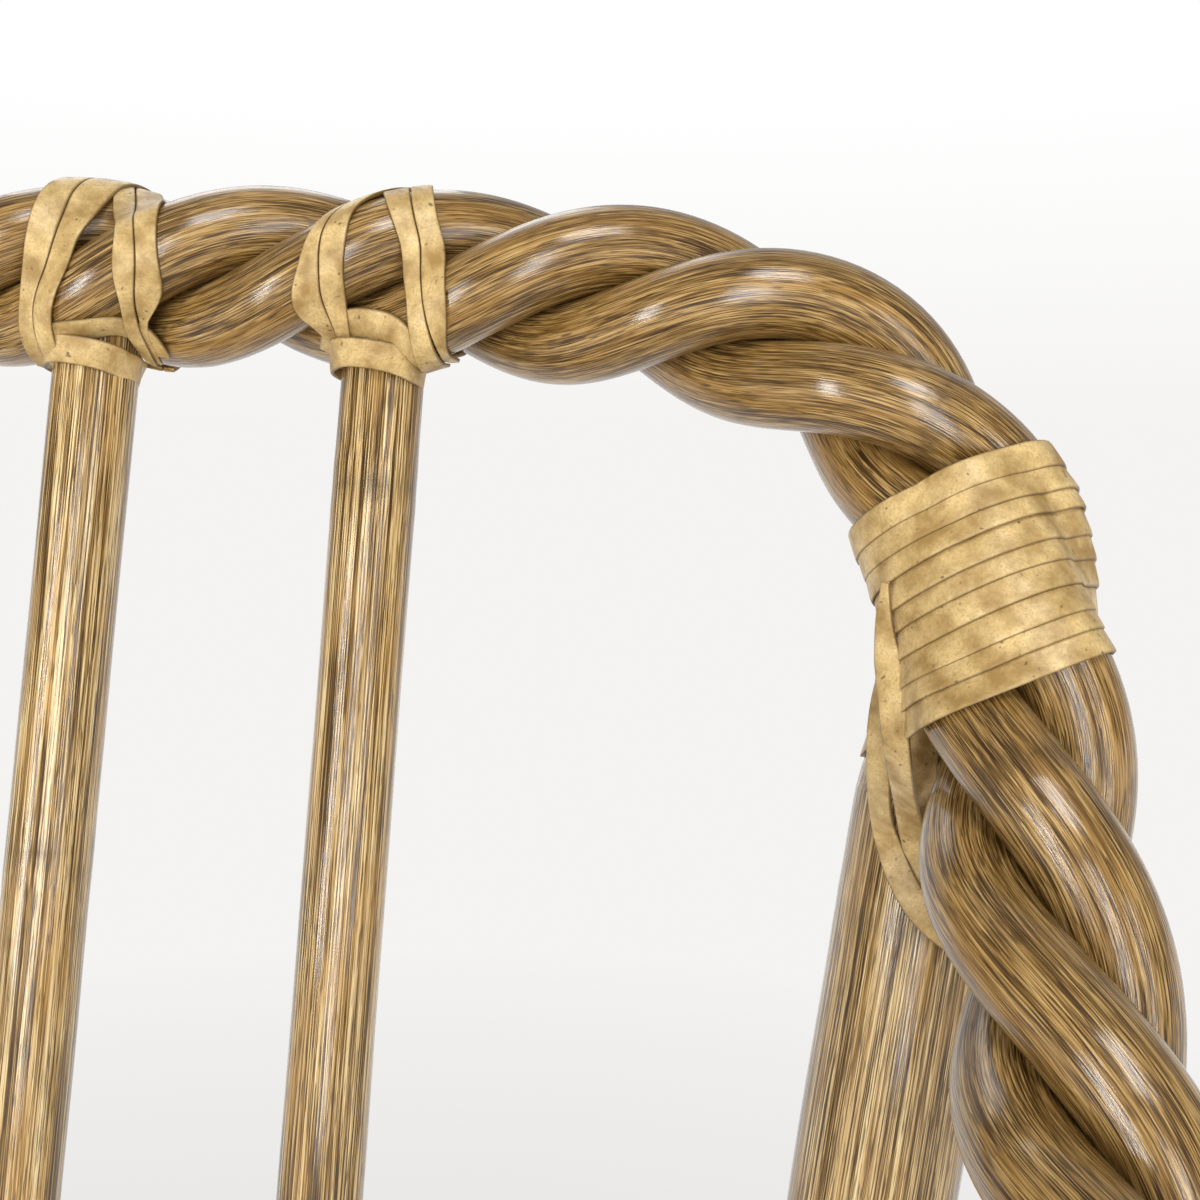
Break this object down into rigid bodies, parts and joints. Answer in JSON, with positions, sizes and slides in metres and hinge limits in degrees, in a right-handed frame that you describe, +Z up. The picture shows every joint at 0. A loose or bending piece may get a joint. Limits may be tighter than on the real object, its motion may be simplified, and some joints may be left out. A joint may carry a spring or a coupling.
{
  "type": "rattan lounge chair",
  "caption": "Rattan lounge chair with a twisted top rail that bends round the corners into the arms, straight back spindles and leather-lashed joints.",
  "frame": {"origin": "on the floor under the middle of the chair, at the bottom centre of its box", "axes": "+Z up, the chair faces -Y, +X to the right as seen from the front"},
  "size_m": [0.7248, 0.7116, 0.8243],
  "materials": {
    "twist_rattan": "amber rattan under clear gloss lacquer",
    "pole_rattan": "golden rattan under clear gloss lacquer",
    "leather": "tan rawhide strip, satin",
    "glide": "dark brown, matt"
  },
  "bodies": {
    "root": {"twist_strand_1": "twist_rattan", "twist_strand_2": "twist_rattan", "twist_strand_3": "twist_rattan", "rear_post_left": "pole_rattan", "front_post_left": "pole_rattan", "rear_post_right": "pole_rattan", "front_post_right": "pole_rattan", "back_spindle_1": "pole_rattan", "back_spindle_2": "pole_rattan", "back_spindle_3": "pole_rattan", "back_spindle_4": "pole_rattan", "back_spindle_5": "pole_rattan", "back_spindle_6": "pole_rattan", "seat_rail_front": "pole_rattan", "stretcher_front": "pole_rattan", "seat_rail_rear": "pole_rattan", "stretcher_rear": "pole_rattan", "seat_rail_left": "pole_rattan", "stretcher_left": "pole_rattan", "seat_rail_right": "pole_rattan", "stretcher_right": "pole_rattan", "seat_pole_1": "pole_rattan", "seat_pole_2": "pole_rattan", "seat_pole_3": "pole_rattan", "seat_pole_4": "pole_rattan", "seat_pole_5": "pole_rattan", "seat_pole_6": "pole_rattan", "seat_pole_7": "pole_rattan", "seat_pole_8": "pole_rattan", "seat_pole_9": "pole_rattan", "spindle_saddle_1": "leather", "spindle_band_1": "leather", "spindle_saddle_2": "leather", "spindle_band_2": "leather", "spindle_saddle_3": "leather", "spindle_band_3": "leather", "spindle_saddle_4": "leather", "spindle_band_4": "leather", "spindle_saddle_5": "leather", "spindle_band_5": "leather", "spindle_saddle_6": "leather", "spindle_band_6": "leather", "corner_binding_left": "leather", "corner_tie_left": "leather", "arm_saddle_left": "leather", "arm_end_binding_left": "leather", "seat_binding_rear_left": "leather", "seat_binding_front_left": "leather", "corner_binding_right": "leather", "corner_tie_right": "leather", "arm_saddle_right": "leather", "arm_end_binding_right": "leather", "seat_binding_rear_right": "leather", "seat_binding_front_right": "leather", "foot_glide_rear_left": "glide", "foot_glide_rear_right": "glide", "foot_glide_front_left": "glide", "foot_glide_front_right": "glide"}
  },
  "joints": []
}
